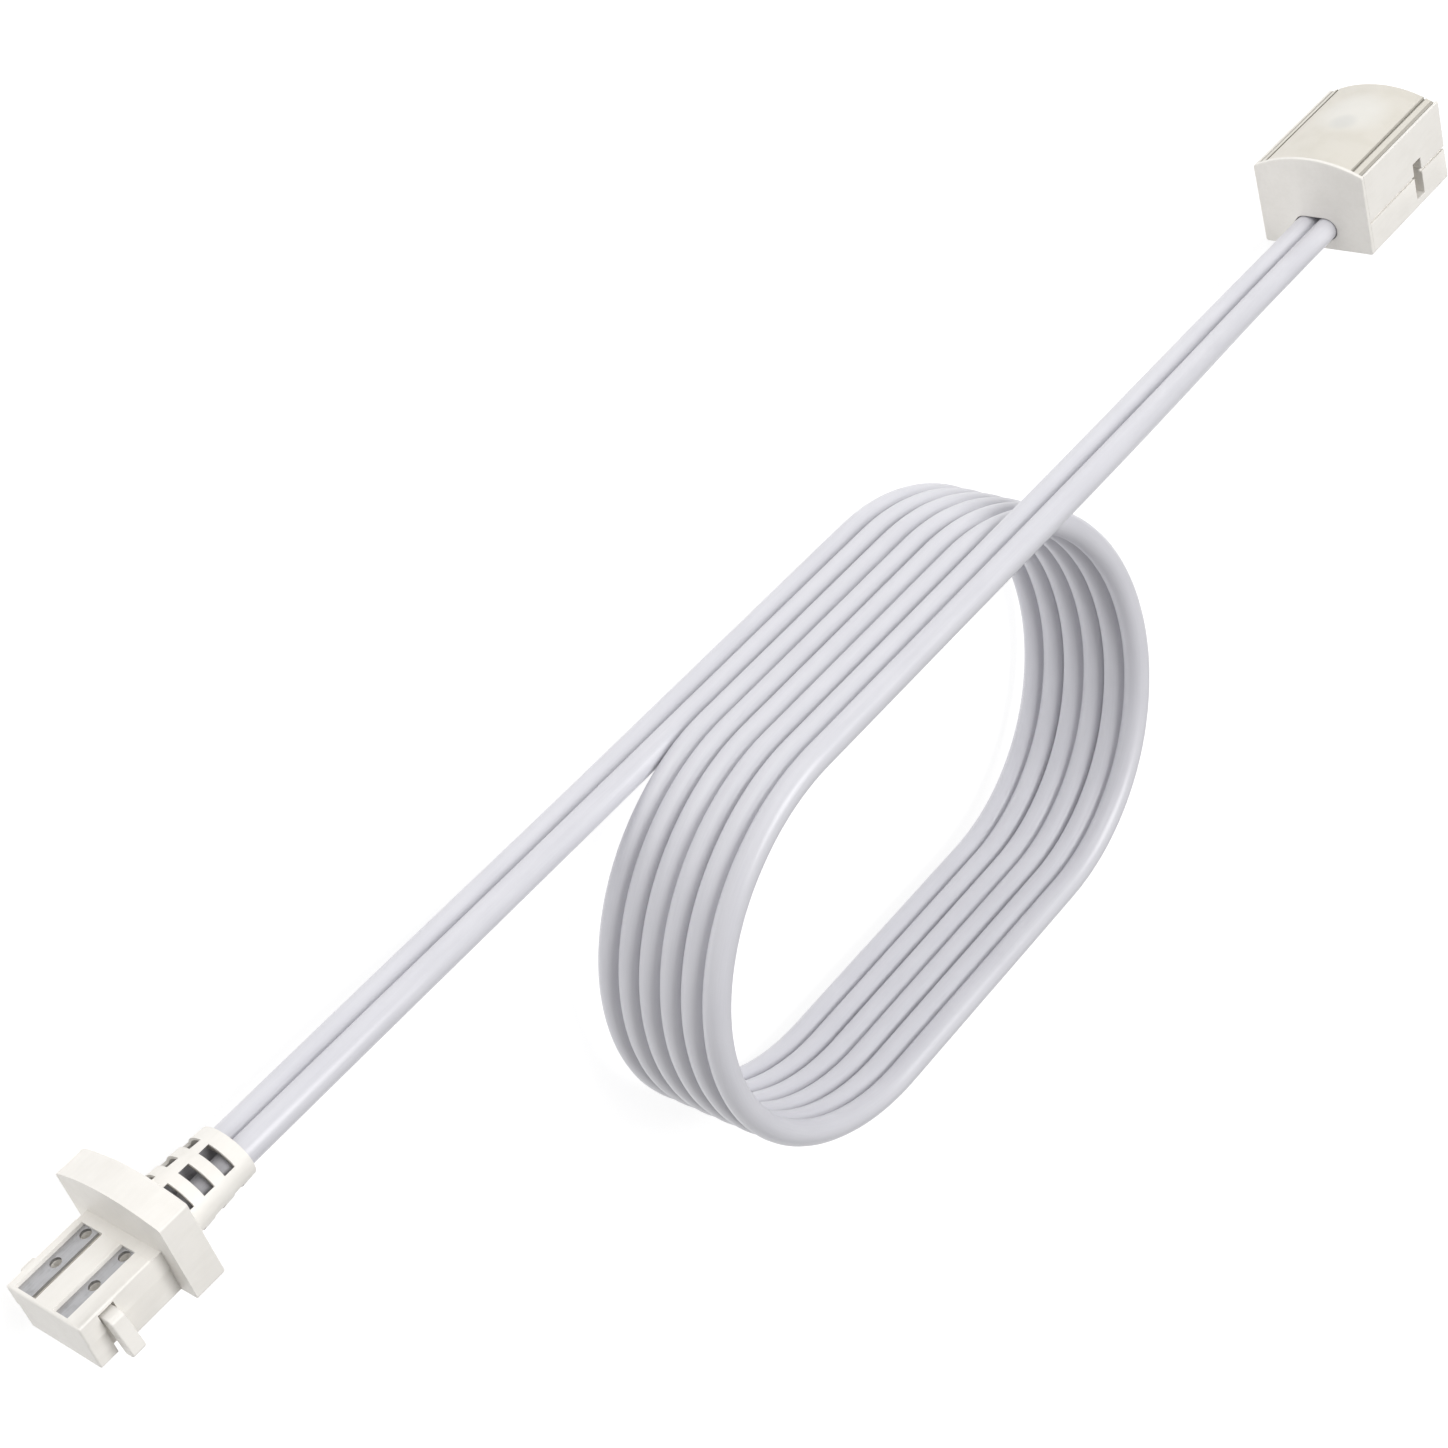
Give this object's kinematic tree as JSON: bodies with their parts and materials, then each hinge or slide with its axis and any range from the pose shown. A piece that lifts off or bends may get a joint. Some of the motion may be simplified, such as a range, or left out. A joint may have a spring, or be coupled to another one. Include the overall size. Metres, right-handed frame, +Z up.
{
  "type": "low-voltage extension cord",
  "caption": "Low-voltage extension cord: flat twin cord in a flat-sided coil, with a latching two-contact plug at one end and a socket under a frosted lens at the other.",
  "frame": {"origin": "middle of the footprint of plug and socket, on the surface they lie on", "axes": "+X from the plug to the socket, +Y the side of the contacts and the lens, +Z up; the object lies on its side"},
  "size_m": [0.219, 0.0579, 0.0224],
  "materials": {
    "white_plastic": "satin moulded",
    "sleeve_plastic": "satin moulded",
    "cord_jacket": "satin soft PVC",
    "contact_metal": "tin plated",
    "copper": "bare stranded copper",
    "frosted_lens": "frosted",
    "board_white": "solder mask",
    "led_phosphor": "silicone",
    "chip_black": "ceramic",
    "solder": "bright"
  },
  "bodies": {
    "cord_set": {"plug_housing": "white_plastic", "contact_carrier": "white_plastic", "contact_left": "contact_metal", "contact_right": "contact_metal", "strain_relief": "sleeve_plastic", "cord_end_plug": "cord_jacket", "plug_strand_left": "copper", "plug_strand_right": "copper", "end_cap": "white_plastic", "base_shell": "white_plastic", "upper_shell": "white_plastic", "lens": "frosted_lens", "circuit_board": "board_white", "led_chip": "led_phosphor", "resistor": "chip_black", "cord_clamp": "white_plastic", "cord_end_socket": "cord_jacket", "contact_foot_left": "contact_metal", "contact_foot_right": "contact_metal", "socket_strand_left": "copper", "socket_strand_right": "copper", "solder_joint_left": "solder", "solder_joint_right": "solder", "cord_plug_lead": "cord_jacket", "cord_socket_lead": "cord_jacket", "cord_coil": "cord_jacket"},
    "latch_arm_left": {"latch_arm_left": "white_plastic"},
    "latch_arm_right": {"latch_arm_right": "white_plastic"},
    "contact_leaf_left": {"contact_leaf_left": "contact_metal"},
    "contact_leaf_right": {"contact_leaf_right": "contact_metal"}
  },
  "joints": [
    {"name": "latch_right_press", "type": "hinge", "parent": "cord_set", "child": "latch_arm_right", "pos_m": [-0.10665, 0.0069, 0.0125], "axis": [1, 0, 0], "range_deg": [0, 27], "stiffness_Nm_per_rad": 0.02},
    {"name": "latch_left_press", "type": "hinge", "parent": "cord_set", "child": "latch_arm_left", "pos_m": [-0.10665, 0.0069, 0.0019], "axis": [-1, 0, 0], "range_deg": [0, 27], "stiffness_Nm_per_rad": 0.02},
    {"name": "leaf_left_flex", "type": "hinge", "parent": "cord_set", "child": "contact_leaf_left", "pos_m": [0.1013, -0.00565, 0.00422], "axis": [0, 0, 1], "range_deg": [0, 7.5], "stiffness_Nm_per_rad": 0.02},
    {"name": "leaf_right_flex", "type": "hinge", "parent": "cord_set", "child": "contact_leaf_right", "pos_m": [0.1013, -0.00565, 0.00964], "axis": [0, 0, 1], "range_deg": [0, 7.5], "stiffness_Nm_per_rad": 0.02}
  ]
}
